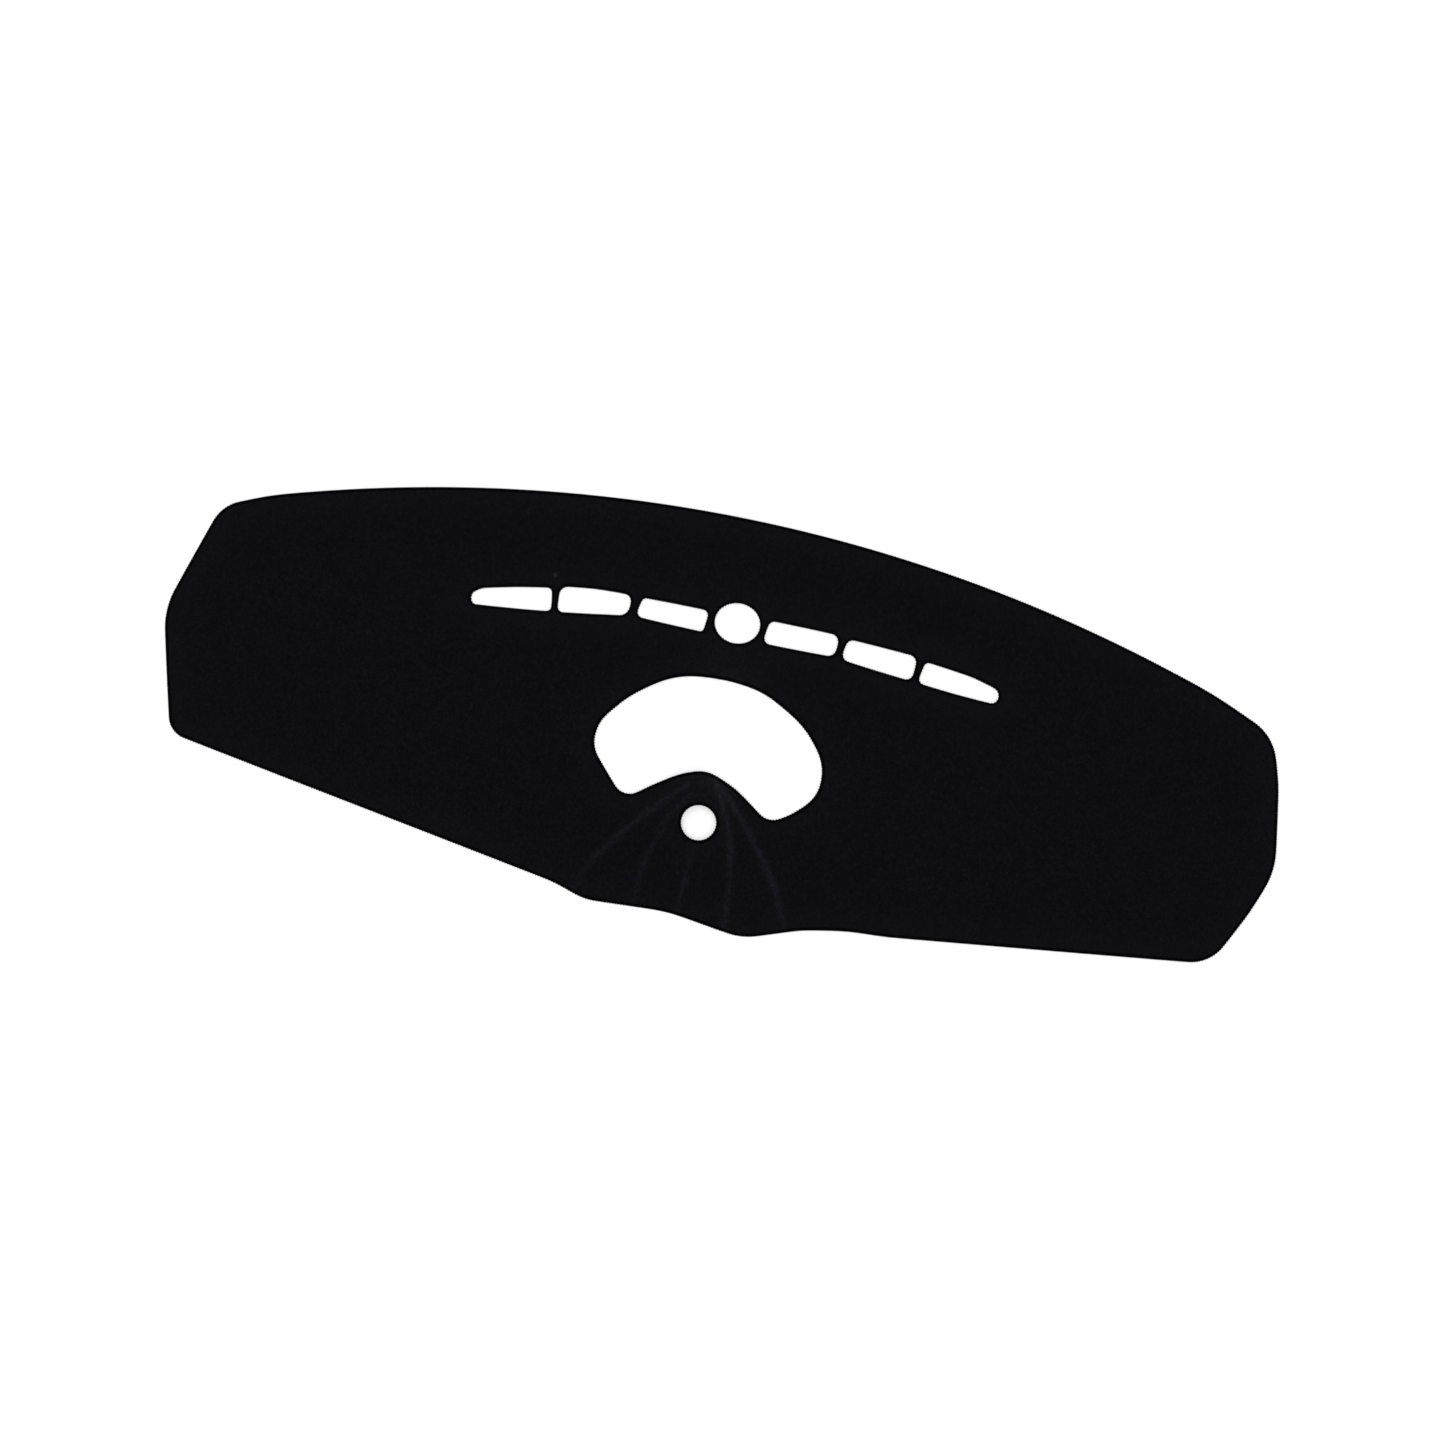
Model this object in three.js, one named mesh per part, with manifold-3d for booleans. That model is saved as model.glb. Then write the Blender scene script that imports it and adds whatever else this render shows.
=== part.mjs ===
// A dashboard cover mat: one sheet of black felt, cut to the plan of a dashboard and pinched into
// five folds where it covers the instrument hood, with thread overlocked round every cut edge.
// Millimetres. X runs along the mat, Y towards the windscreen, Z up from the floor it lies on.

import * as THREE from 'three';
import { mergeVertices } from 'three/addons/utils/BufferGeometryUtils.js';
import Module from 'manifold-3d';

// Felt and thread
const feltThickness = 4;
const threadThickness = 0.7;
const threadShoulder = 1.6;
const threadClearance = 0.3;
const edgeStitchBite = 4.5;
const ventStitchBite = 2.5;

// Plan: elbow to elbow, and from the middle line to the windscreen edge and to the front edge
const matWidth = 1400;
const rearDepth = 253.2;
const frontDepth = 253.2;

// Windscreen edge: one long arc, with a short straight run to the corner at each end, which lies
// a little in front of the arc
const windscreenRadius = 1930;
const windscreenCrownX = -3;
const rearCornerDrop = 4.4;

// Left end: how far each corner lies in from the elbow, how far it is from the middle line, and
// the radius of its rounding
const leftElbowOverrun = 4.2;
const leftElbowY = -7.4;
const leftElbowRound = 100;
const leftRearInset = 39;
const leftRearRun = 61;
const leftRearRound = 50;
const leftFrontInset = 34.8;
const leftFrontY = -155.8;
const leftFrontRound = 30;

// Right end, cut slightly fuller than the left one, with a bow on each side of its elbow
const rightElbowOverrun = 3;
const rightElbowY = -35;
const rightElbowRound = 100;
const rightRearInset = 35;
const rightRearRun = 85;
const rightRearRound = 66;
const rightRearBowInset = 15.5;
const rightRearBowY = 71;
const rightFrontInset = 52;
const rightFrontY = -163.8;
const rightFrontRound = 52;
const rightFrontBowInset = 18;
const rightFrontBowY = -93;
const rightBowRound = 250;

// Instrument hood: the felt rises to the lip of the display opening and runs out at the front edge
const hoodX = -6;
const hoodHalfWidth = 112;
const hoodRise = 11;
const hoodLipY = -62;
const hoodRearY = 8;
const hoodFrontGap = 17;

// Folds pinched into the hood: how wide and high they stand, how deep they are rooted in the felt,
// the share of the height left at their ends and the share of the length over which they rise
const foldWidth = 6;
const foldHeight = 2.4;
const foldRoot = 1;
const foldSteps = 12;
const foldEndShare = 0.15;
const foldRiseShare = 0.2;

// Holes
const sensorHoleX = -9.6;
const sensorHoleY = 123.8;
const sensorHoleWidth = 54.7;
const sensorHoleDepth = 47.9;
const frontHoleX = -4.5;
const frontHoleY = -125.9;
const frontHoleDiameter = 41.5;

// How closely straight pieces follow a curve, and the spacing of the hood's surface points
const curveTolerance = 0.3;
const hoodSpacing = 18;

// The most of a straight side that the rounding of one corner may use
const roundingShare = 0.49;

const halfWidth = matWidth / 2;
const hoodFrontY = hoodFrontGap - frontDepth;

// Height of the windscreen arc at x
function windscreenY(x) {
  const fromCrown = x - windscreenCrownX;
  return rearDepth - windscreenRadius + Math.sqrt(windscreenRadius ** 2 - fromCrown ** 2);
}

// Corners along the front edge under the hood, from left to right: x, rise above the lowest point
// of the edge, rounding radius. The felt takes up these shallow lobes where it is folded.
const hoodFrontCorners = [
  [-164, 17.4, 180],
  [-122.5, 4.4, 80],
  [-20, 11, 200],
  [77, -1.6, 80],
  [148, 23.6, 110],
  [200, 33.8, 160],
  [255, 37.8, 300],
];

// Corners of the display opening, anticlockwise from its left front lobe: x, y, rounding radius
const displayCorners = [
  [-101.5, -115.6, 20],
  [-61.5, -84.9, 300],
  [-36.5, -69, 115],
  [-8.4, -59.5, 45],
  [30, -73.2, 140],
  [79, -107, 23],
  [103, -93, 90],
  [131.5, -64, 55],
  [130.6, -24.5, 66],
  [99, 15.6, 130],
  [41, 46.6, 165],
  [-4, 52.3, 215],
  [-68.5, 46.8, 135],
  [-121, 7.9, 155],
  [-150.4, -31, 60],
  [-151.3, -61.8, 40],
];

// Corners of the vent slots, anticlockwise from the left front one: x, y, rounding radius
const ventSlots = [
  [
    [-335.2, 79, 7], [-272, 85.9, 300], [-238, 90.6, 5],
    [-242.3, 117.6, 5], [-283, 109.9, 300], [-325.5, 99.4, 20], [-336.2, 91.5, 6],
  ],
  [[-228.9, 91.6, 6], [-144.3, 105.4, 12], [-144.3, 129.6, 8], [-190, 127.6, 150], [-231.6, 121.7, 10]],
  [[-133.4, 106.6, 6.5], [-49.9, 105.4, 3], [-47.4, 130.9, 6], [-128.9, 129.4, 4.5]],
  [[26.4, 107.3, 7], [114.8, 109.2, 9], [116.2, 134.9, 9], [29.8, 134.7, 7]],
  [[124.9, 108, 8], [214, 100.2, 8], [215.2, 129.6, 9], [128.6, 132.9, 8]],
  [
    [223.2, 99.8, 6], [270, 96.1, 200], [322.6, 94, 8],
    [323.1, 109.8, 11], [287, 119.3, 120], [227.6, 125.6, 5],
  ],
];

// Middle lines of the five folds, which fan out from the lip of the opening: the points that each
// passes through, and where it runs out at the front of the mat
const foldLines = [
  { points: [[-28, -84], [-75, -133], [-120, -194]], frontX: -143 },
  { points: [[-22, -95], [-43, -130], [-58, -180]], frontX: -65 },
  { points: [[-5, -152], [-6, -182], [-7, -212]], frontX: -8 },
  { points: [[5, -72], [33, -125], [48, -190]], frontX: 53 },
  { points: [[10, -75], [50, -115], [100, -180]], frontX: 138 },
];

// Points of a closed loop with each corner [x, y, radius] rounded by an arc tangent to both sides
function roundedLoop(corners) {
  const points = [];
  corners.forEach(([x, y, radius], i) => {
    const corner = new THREE.Vector2(x, y);
    const before = new THREE.Vector2(...corners[(i + corners.length - 1) % corners.length]);
    const after = new THREE.Vector2(...corners[(i + 1) % corners.length]);
    const toBefore = before.clone().sub(corner);
    const toAfter = after.clone().sub(corner);
    const turn = Math.PI - Math.abs(toBefore.angleTo(toAfter));
    if (radius === 0) {
      points.push(corner);
      return;
    }
    const longest = roundingShare * Math.min(toBefore.length(), toAfter.length());
    const tangent = Math.min(radius * Math.tan(turn / 2), longest);
    const round = tangent / Math.tan(turn / 2);
    const inwards = toBefore.normalize().clone().add(toAfter.normalize()).normalize();
    const centre = corner.clone().addScaledVector(inwards, round / Math.cos(turn / 2));
    const start = corner.clone().addScaledVector(toBefore, tangent).sub(centre);
    const turnsLeft = toBefore.cross(toAfter) < 0;
    const steps = arcSteps(round, turn);
    for (let k = 0; k <= steps; k += 1) {
      const angle = (turnsLeft ? 1 : -1) * turn * (k / steps);
      points.push(start.clone().rotateAround(new THREE.Vector2(), angle).add(centre));
    }
  });
  return points;
}

// Straight pieces needed to follow an arc within the curve tolerance
function arcSteps(radius, angle) {
  return Math.max(1, Math.ceil(angle / (2 * Math.acos(1 - curveTolerance / radius))));
}

// Points of an oval, anticlockwise
function oval(centreX, centreY, width, depth) {
  const steps = arcSteps(width / 2, 2 * Math.PI);
  return new THREE.EllipseCurve(centreX, centreY, width / 2, depth / 2).getPoints(steps).slice(0, steps);
}

// The windscreen arc's points between the two rear corners, as corners with no rounding
function windscreenArc(fromX, toX) {
  const steps = arcSteps(windscreenRadius, Math.abs(toX - fromX) / windscreenRadius);
  return Array.from({ length: steps + 1 }, (_, i) => {
    const x = THREE.MathUtils.lerp(fromX, toX, i / steps);
    return [x, windscreenY(x), 0];
  });
}

function outerLoop() {
  const rightRearX = halfWidth - rightRearInset;
  const leftRearX = leftRearInset - halfWidth;
  return roundedLoop([
    [leftFrontInset - halfWidth, leftFrontY, leftFrontRound],
    ...hoodFrontCorners.map(([x, rise, round]) => [x, rise - frontDepth, round]),
    [halfWidth - rightFrontInset, rightFrontY, rightFrontRound],
    [halfWidth - rightFrontBowInset, rightFrontBowY, rightBowRound],
    [halfWidth + rightElbowOverrun, rightElbowY, rightElbowRound],
    [halfWidth - rightRearBowInset, rightRearBowY, rightBowRound],
    [rightRearX, windscreenY(rightRearX) - rearCornerDrop, rightRearRound],
    ...windscreenArc(rightRearX - rightRearRun, leftRearX + leftRearRun),
    [leftRearX, windscreenY(leftRearX) - rearCornerDrop, leftRearRound],
    [-halfWidth - leftElbowOverrun, leftElbowY, leftElbowRound],
  ]);
}

// Every cut edge runs with the felt on its left: the outer one anticlockwise, the holes clockwise
const cutEdges = [
  { name: 'outer_edge', loop: outerLoop(), bite: edgeStitchBite },
  { name: 'display_opening', loop: roundedLoop(displayCorners).reverse(), bite: edgeStitchBite },
  ...ventSlots.map((corners, i) => (
    { name: `vent_slot_${i + 1}`, loop: roundedLoop(corners).reverse(), bite: ventStitchBite }
  )),
  {
    name: 'sensor_hole',
    loop: oval(sensorHoleX, sensorHoleY, sensorHoleWidth, sensorHoleDepth).reverse(),
    bite: ventStitchBite,
  },
  {
    name: 'front_hole',
    loop: oval(frontHoleX, frontHoleY, frontHoleDiameter, frontHoleDiameter).reverse(),
    bite: edgeStitchBite,
  },
];

// How high the felt's underside stands off the floor at a point of the plan: a cosine bell across
// the hood, rising from the front edge to the lip and falling away behind it
function hoodLift(x, y) {
  const across = Math.min(Math.abs(x - hoodX) / hoodHalfWidth, 1);
  const bell = (1 + Math.cos(Math.PI * across)) / 2;
  const rise = THREE.MathUtils.smoothstep(y, hoodFrontY, hoodLipY);
  const fall = 1 - THREE.MathUtils.smoothstep(y, hoodLipY, hoodRearY);
  return hoodRise * bell * rise * fall;
}

// Directions into the felt at each point of a loop, lengthened at corners so that a loop moved
// along them keeps its distance from every side
function intoFelt(loop) {
  return loop.map((point, i) => {
    const sideIn = point.clone().sub(loop[(i + loop.length - 1) % loop.length]).normalize();
    const sideOut = loop[(i + 1) % loop.length].clone().sub(point).normalize();
    const along = sideIn.clone().add(sideOut).normalize();
    const stretch = 1 / along.dot(sideIn);
    return new THREE.Vector2(-along.y, along.x).multiplyScalar(stretch);
  });
}

function insetLoop(loop, distance) {
  const inwards = intoFelt(loop);
  return loop.map((point, i) => point.clone().addScaledVector(inwards[i], distance));
}

// A mesh through sections with the same number of points, either joined end to end or capped
function loft(sections, joined) {
  const count = sections[0].length;
  const positions = sections.flat().flatMap((point) => point.toArray());
  const faces = [];
  const rings = joined ? sections.length : sections.length - 1;
  for (let i = 0; i < rings; i += 1) {
    const here = i * count;
    const next = ((i + 1) % sections.length) * count;
    for (let j = 0; j < count; j += 1) {
      const k = (j + 1) % count;
      faces.push(here + j, next + j, next + k, here + j, next + k, here + k);
    }
  }
  if (!joined) {
    const last = (sections.length - 1) * count;
    for (let j = 1; j < count - 1; j += 1) {
      faces.push(0, j, j + 1, last, last + j + 1, last + j);
    }
  }
  const geometry = new THREE.BufferGeometry();
  geometry.setAttribute('position', new THREE.Float32BufferAttribute(positions, 3));
  geometry.setIndex(faces);
  return geometry;
}

// Overlock thread as a band folded over the felt's edge: a C-shaped section, rounded outside,
// carried round the loop and lifted with the felt
function overlockBand({ loop, bite }) {
  const middle = feltThickness / 2;
  const section = [
    [threadShoulder, 0],
    [0, middle - threadThickness],
    [0, middle + threadThickness],
    [threadShoulder, feltThickness],
    [bite, feltThickness],
    [bite, feltThickness - threadThickness],
    [threadThickness, feltThickness - threadThickness],
    [threadThickness, threadThickness],
    [bite, threadThickness],
    [bite, 0],
  ];
  const inwards = intoFelt(loop);
  return loft(loop.map((point, i) => section.map(([distance, height]) => {
    const { x, y } = point.clone().addScaledVector(inwards[i], distance);
    return new THREE.Vector3(x, y, height + hoodLift(x, y));
  })), true);
}

// Even spacing between two values, ends included
function spread(from, to, spacing) {
  const steps = Math.ceil((to - from) / spacing);
  return Array.from({ length: steps + 1 }, (_, i) => THREE.MathUtils.lerp(from, to, i / steps));
}

// A slab over the whole plan between two heights, raised where the hood lifts the felt. It is a
// divided box whose points are moved to the hood's columns and rows.
function liftedSlab(lower, upper) {
  const margin = feltThickness;
  const hoodColumns = spread(hoodX - hoodHalfWidth, hoodX + hoodHalfWidth, hoodSpacing);
  const hoodRows = spread(hoodFrontY, hoodRearY, hoodSpacing);
  const columns = [-halfWidth - margin, ...hoodColumns, halfWidth + margin];
  const rows = [-frontDepth - margin, ...hoodRows, rearDepth + margin];
  const geometry = new THREE.BoxGeometry(1, 1, 1, columns.length - 1, rows.length - 1, 1);
  const place = geometry.attributes.position;
  for (let i = 0; i < place.count; i += 1) {
    const x = columns[Math.round((place.getX(i) + 0.5) * (columns.length - 1))];
    const y = rows[Math.round((place.getY(i) + 0.5) * (rows.length - 1))];
    const height = place.getZ(i) > 0 ? upper : lower;
    place.setXYZ(i, x, y, height + hoodLift(x, y));
  }
  return geometry;
}

// Upright solid of the mat's plan with every edge moved into the felt by its own distance
function planPrism(insetOf) {
  const [outer, ...holes] = cutEdges.map((edge) => insetLoop(edge.loop, insetOf(edge)));
  const shape = new THREE.Shape(outer);
  shape.holes = holes.map((hole) => new THREE.Path(hole));
  const height = 3 * (feltThickness + hoodRise);
  const geometry = new THREE.ExtrudeGeometry(shape, { depth: height, bevelEnabled: false });
  return geometry.translate(0, 0, -height / 3);
}

// A fold pinched up from the felt: a rounded ridge along its line, low at both ends
function foldRidge({ points, frontX }) {
  const stops = [...points, [frontX, -frontDepth]];
  const path = new THREE.SplineCurve(stops.map(([x, y]) => new THREE.Vector2(x, y)));
  const half = foldWidth / 2;
  const sections = [];
  for (let i = 0; i <= foldSteps; i += 1) {
    const along = i / foldSteps;
    const point = path.getPointAt(along);
    const heading = path.getTangentAt(along);
    const risen = Math.min(1, Math.min(along, 1 - along) / foldRiseShare);
    const crest = foldHeight * THREE.MathUtils.lerp(foldEndShare, 1, risen);
    const shoulder = crest * Math.SQRT1_2;
    const section = [[-half, -foldRoot], [half, -foldRoot], [half / 2, shoulder]];
    section.push([0, crest], [-half / 2, shoulder]);
    sections.push(section.map(([across, up]) => {
      const x = point.x + heading.y * across;
      const y = point.y - heading.x * across;
      return new THREE.Vector3(x, y, feltThickness + hoodLift(x, y) + up);
    }));
  }
  return loft(sections, false);
}

const wasm = await Module();
wasm.setup();

function toSolid(geometry) {
  geometry.deleteAttribute('normal');
  geometry.deleteAttribute('uv');
  const merged = mergeVertices(geometry);
  return new wasm.Manifold(new wasm.Mesh({
    numProp: 3,
    vertProperties: new Float32Array(merged.attributes.position.array),
    triVerts: new Uint32Array(merged.index.array),
  }));
}

function toGeometry(solid) {
  const { vertProperties, triVerts } = solid.getMesh();
  const geometry = new THREE.BufferGeometry();
  geometry.setAttribute('position', new THREE.BufferAttribute(vertProperties, 3));
  geometry.setIndex(new THREE.BufferAttribute(triVerts, 1));
  return geometry;
}

// The felt: full thickness inside the stitched bands, and pressed thin under the thread
function matSheet() {
  const covered = threadThickness + threadClearance;
  const full = toSolid(liftedSlab(0, feltThickness));
  const pressed = toSolid(liftedSlab(covered, feltThickness - covered));
  const insideBands = toSolid(planPrism(({ bite }) => bite + threadClearance));
  const underThread = toSolid(planPrism(() => covered));
  const folds = foldLines.map((line) => toSolid(foldRidge(line)).intersect(insideBands));
  const sheet = full.intersect(insideBands).add(pressed.intersect(underThread));
  return toGeometry(folds.reduce((felt, fold) => felt.add(fold), sheet));
}

const felt = { color: 0x101012, roughness: 0.96, metalness: 0 };
const thread = { color: 0x0f0f12, roughness: 0.8, metalness: 0 };

function namedMesh(name, geometry, finish) {
  const flat = geometry.toNonIndexed();
  flat.computeVertexNormals();
  const mesh = new THREE.Mesh(flat, new THREE.MeshStandardMaterial(finish));
  mesh.name = name;
  return mesh;
}

const mat = new THREE.Group();
mat.add(namedMesh('mat_sheet', matSheet(), felt));
cutEdges.forEach((edge) => {
  mat.add(namedMesh(`${edge.name}_overlock`, overlockBand(edge), thread));
});

// The frame's origin is under the middle of the mat's plan
const plan = new THREE.Box2().setFromPoints(cutEdges[0].loop);
const middle = plan.getCenter(new THREE.Vector2());
mat.position.set(-middle.x, -middle.y, 0);

export default mat;
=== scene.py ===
"""Looks of a black felt dashboard cover mat, laid flat and seen from straight above.

The felt is one closed sheet with five folds pinched into its hood, and every cut edge is bound
with three real overlock threads. Sizes are in metres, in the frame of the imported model.
"""

import logging
import math
from dataclasses import dataclass
from enum import Enum

import bpy
import numpy as np
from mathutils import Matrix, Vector
from mathutils.geometry import delaunay_2d_cdt


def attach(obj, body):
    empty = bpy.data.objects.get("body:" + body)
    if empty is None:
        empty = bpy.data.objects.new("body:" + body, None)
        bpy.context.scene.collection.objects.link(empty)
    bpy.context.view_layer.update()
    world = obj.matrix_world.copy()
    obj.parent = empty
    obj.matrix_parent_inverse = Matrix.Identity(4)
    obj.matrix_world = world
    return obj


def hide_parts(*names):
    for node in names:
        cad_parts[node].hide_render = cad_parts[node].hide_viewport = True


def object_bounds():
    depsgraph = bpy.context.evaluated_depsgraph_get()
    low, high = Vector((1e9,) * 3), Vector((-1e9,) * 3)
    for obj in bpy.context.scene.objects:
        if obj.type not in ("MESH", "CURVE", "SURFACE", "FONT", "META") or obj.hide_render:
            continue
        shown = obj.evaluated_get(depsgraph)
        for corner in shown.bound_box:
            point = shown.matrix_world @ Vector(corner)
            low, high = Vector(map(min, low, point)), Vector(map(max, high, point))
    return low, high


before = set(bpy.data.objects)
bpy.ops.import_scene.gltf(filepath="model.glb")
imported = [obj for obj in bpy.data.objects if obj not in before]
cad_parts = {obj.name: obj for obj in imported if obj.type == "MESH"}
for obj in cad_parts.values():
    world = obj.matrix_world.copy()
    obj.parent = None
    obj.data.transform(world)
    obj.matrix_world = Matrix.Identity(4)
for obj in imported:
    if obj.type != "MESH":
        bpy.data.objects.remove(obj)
CAD_LOW, CAD_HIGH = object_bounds()

MM = 0.001
LOG = logging.getLogger("dashboard_mat")

Array = np.ndarray
Colour = tuple[float, float, float]
Place = tuple[float, float, float]
Span = tuple[float, float, float, float]
Tree = bpy.types.NodeTree
Socket = bpy.types.NodeSocket

SHEEN_MASK = "painted_sheen"
EDGE_MM = "edge_mm"
ALONG_THREAD = "along_thread"

CELLS_AT_ONCE = 2_000_000


class Slot(Enum):
    """The mat's two finishes, felt and overlock thread, by name."""

    FELT = "felt"
    THREAD = "overlock_thread"


class Strand(Enum):
    """The three threads of an overlock seam, with the words that end their pieces' names."""

    NEEDLE = "needle_thread"
    TOP_LOOPER = "top_looper"
    UNDER_LOOPER = "under_looper"


# Form of the mat


def smooth(value: Array, low: float, high: float) -> Array:
    """Smooth step: 3t^2 - 2t^3 of the value's share t of the way from low to high.

    Args:
        value: Numbers of any shape.
        low: Where the step starts.
        high: Where the step ends.

    Returns:
        Numbers from 0 to 1 of the same shape.
    """
    t = np.clip((value - low) / (high - low), 0.0, 1.0)
    return t * t * (3.0 - 2.0 * t)


@dataclass(frozen=True)
class Felt:
    """Thickness of the felt, and how the overlock presses it."""

    thickness: float = 4.0 * MM
    cut_edge: float = 0.95 * MM
    cut_round: float = 0.9 * MM
    pressed_half: float = 1.15 * MM
    recovery: float = 2.6 * MM
    recovery_start: float = 0.8 * MM

    @property
    def middle(self) -> float:
        """Height of the felt's middle layer above the surface it lies on."""
        return self.thickness / 2

    def half(self, distance: Array, bite: Array) -> Array:
        """Half of the felt's thickness at a distance from the finished edge.

        A quarter ellipse closes the cut edge at the pressed thickness, and a smooth step
        beyond the needle line brings the felt back to its full thickness.

        Args:
            distance: Distance in from the finished edge.
            bite: How far that edge's stitches reach in.

        Returns:
            Half thicknesses, in metres.
        """
        inwards = np.clip((distance - self.cut_edge) / self.cut_round, 0.0, 1.0)
        pressed = self.pressed_half * np.sqrt(1.0 - (1.0 - inwards) ** 2)
        beyond = distance - bite + self.recovery_start
        return pressed + (self.middle - self.pressed_half) * smooth(beyond, 0.0, self.recovery)


@dataclass(frozen=True)
class Hood:
    """The low dome where the felt rises to the lip of the display opening."""

    centre_x: float = -5.8 * MM
    half_width: float = 112.0 * MM
    lip_y: float = -62.1 * MM
    front_y: float = -236.1 * MM
    rear_y: float = 7.9 * MM
    rise: float = 11.0 * MM

    def lift(self, x: Array, y: Array) -> Array:
        """Height of the felt's underside: a cosine bell across, smooth steps up and down along Y.

        Args:
            x: X of each point.
            y: Y of each point.

        Returns:
            Lifts, in metres.
        """
        across = np.minimum(np.abs(x - self.centre_x) / self.half_width, 1.0)
        bell = 0.5 + 0.5 * np.cos(np.pi * across)
        along = smooth(y, self.front_y, self.lip_y) * (1.0 - smooth(y, self.lip_y, self.rear_y))
        return self.rise * bell * along


@dataclass(frozen=True)
class Ripples:
    """Slight unevenness of felt that has been rolled up and laid out again: crossing sine waves."""

    height: float = 1.3 * MM
    waves: tuple[tuple[float, float, float], ...] = (
        (9.0, 4.0, 0.4),
        (-5.0, 13.0, 1.9),
        (17.0, -7.0, 3.1),
        (3.0, 22.0, 5.0),
    )

    def lift(self, x: Array, y: Array) -> Array:
        """Mean of the sine waves, moved and scaled to run from 0 to the height.

        Args:
            x: X of each point.
            y: Y of each point.

        Returns:
            Lifts, in metres, never negative.
        """
        total = sum(np.sin(kx * x + ky * y + phase) for kx, ky, phase in self.waves)
        return self.height * (0.5 + 0.5 * total / len(self.waves))


@dataclass(frozen=True)
class Fold:
    """One fold: its middle line in millimetres, from the lip to the front edge, and how pale the sheen
    painted along its crest is.

    The three numbers after the line are the strength of that painted sheen at the start, in the middle and
    at the end, with 1 for the palest.
    """

    line: tuple[tuple[float, float], ...]
    painted_sheen: tuple[float, float, float]


@dataclass(frozen=True)
class Folds:
    """Five folds pinched up from the hood, fanning out from the lip to the front edge."""

    half_width: float = 3.0 * MM
    height: float = 2.4 * MM
    trough: float = 0.35 * MM
    trough_width: float = 3.2 * MM
    sheen_width: float = 4.7 * MM
    end_share: float = 0.15
    rise_share: float = 0.2
    under_share: float = 0.55
    step: float = 2.5 * MM
    points_a_cubic: int = 60
    folds: tuple[Fold, ...] = (
        Fold(((-28, -84), (-75, -133), (-120, -194), (-143, -253.2)), (0.8, 0.65, 0.25)),
        Fold(((-22, -95), (-43, -130), (-58, -180), (-65, -253.2)), (0.55, 0.5, 0.35)),
        Fold(((-5, -152), (-6, -182), (-7, -212), (-8, -253.2)), (0.35, 0.45, 0.4)),
        Fold(((5, -72), (33, -125), (48, -190), (53, -253.2)), (0.9, 0.75, 0.5)),
        Fold(((10, -75), (50, -115), (100, -180), (138, -253.2)), (0.85, 0.85, 0.4)),
    )

    def path(self, fold: Fold) -> tuple[Array, Array]:
        """Points every step along a fold's middle line, with their share of its length.

        The line is a uniform spline through its points: cubics whose slope at a point is half
        the way from the point before to the point after.

        Args:
            fold: The fold.

        Returns:
            The points, one a row, and a share from 0 to 1 for each.
        """
        stops = np.array(fold.line, float) * MM
        before = np.vstack([2 * stops[:1] - stops[1:2], stops[:-1]])
        after = np.vstack([stops[1:], 2 * stops[-1:] - stops[-2:-1]])
        slope = (after - before) / 2
        dense = hermite(stops[:-1], stops[1:], slope[:-1], slope[1:], self.points_a_cubic)
        gone = np.concatenate([[0.0], np.cumsum(np.hypot(*np.diff(dense, axis=0).T))])
        share = np.linspace(0.0, 1.0, int(gone[-1] / self.step) + 1)
        points = np.stack([np.interp(share * gone[-1], gone, dense[:, i]) for i in (0, 1)], axis=1)
        return points, share

    def relief(self, x: Array, y: Array) -> tuple[Array, Array]:
        """How high the folds stand at each point, and how strong the sheen painted on them is there.

        Across a fold the height is a squared cosine with a shallow trough on each side, and
        along it the height rises over the first and last fifth. The band of painted sheen is a
        bell curve across the fold, and its strength goes evenly from the start's to the
        middle's and on to the end's.

        Args:
            x: X of each point.
            y: Y of each point.

        Returns:
            Heights in metres, and how strong the painted sheen is, with 1 for a plain crest.
        """
        height = np.zeros_like(x)
        pale = np.zeros_like(x)
        for fold in self.folds:
            away, along = distance_to_path(np.stack([x, y], axis=1), *self.path(fold))
            swell = np.minimum(1.0, np.minimum(along, 1.0 - along) / self.rise_share)
            swell = self.end_share + (1.0 - self.end_share) * swell
            ridge = np.cos(0.5 * np.pi * np.clip(away / self.half_width, 0.0, 1.0)) ** 2
            beside = (away - self.half_width - 0.5 * self.trough_width) / (0.5 * self.trough_width)
            trough = np.cos(0.5 * np.pi * np.clip(beside, -1.0, 1.0)) ** 2
            height += swell * (self.height * ridge - self.trough * trough)
            # Painted sheen: a paler colour along the crest, for the light that the fold catches.
            strength = np.interp(along, (0.0, 0.5, 1.0), fold.painted_sheen)
            pale = np.maximum(pale, strength * np.exp(-((away / self.sheen_width) ** 2)))
        return height, pale


@dataclass(frozen=True)
class LipSheen:
    """Sheen painted on the felt along the front of the display opening, palest at the lip."""

    strength: float = 0.6
    reach: float = 20.0 * MM
    middle_x: float = -4.0 * MM
    half_width: float = 62.0 * MM

    def pale(self, x: Array, from_lip: Array) -> Array:
        """How strong the painted sheen is near the lip.

        It fades exponentially with the distance from the opening, and by a cosine bell to
        both sides.

        Args:
            x: X of each point.
            from_lip: Distance of each point from the display opening's edge.

        Returns:
            Numbers from 0 up, with 1 for a plain crest of a fold.
        """
        across = np.clip(np.abs(x - self.middle_x) / self.half_width, 0.0, 1.0)
        bell = 0.5 + 0.5 * np.cos(np.pi * across)
        return self.strength * bell * np.exp(-from_lip / self.reach)


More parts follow.
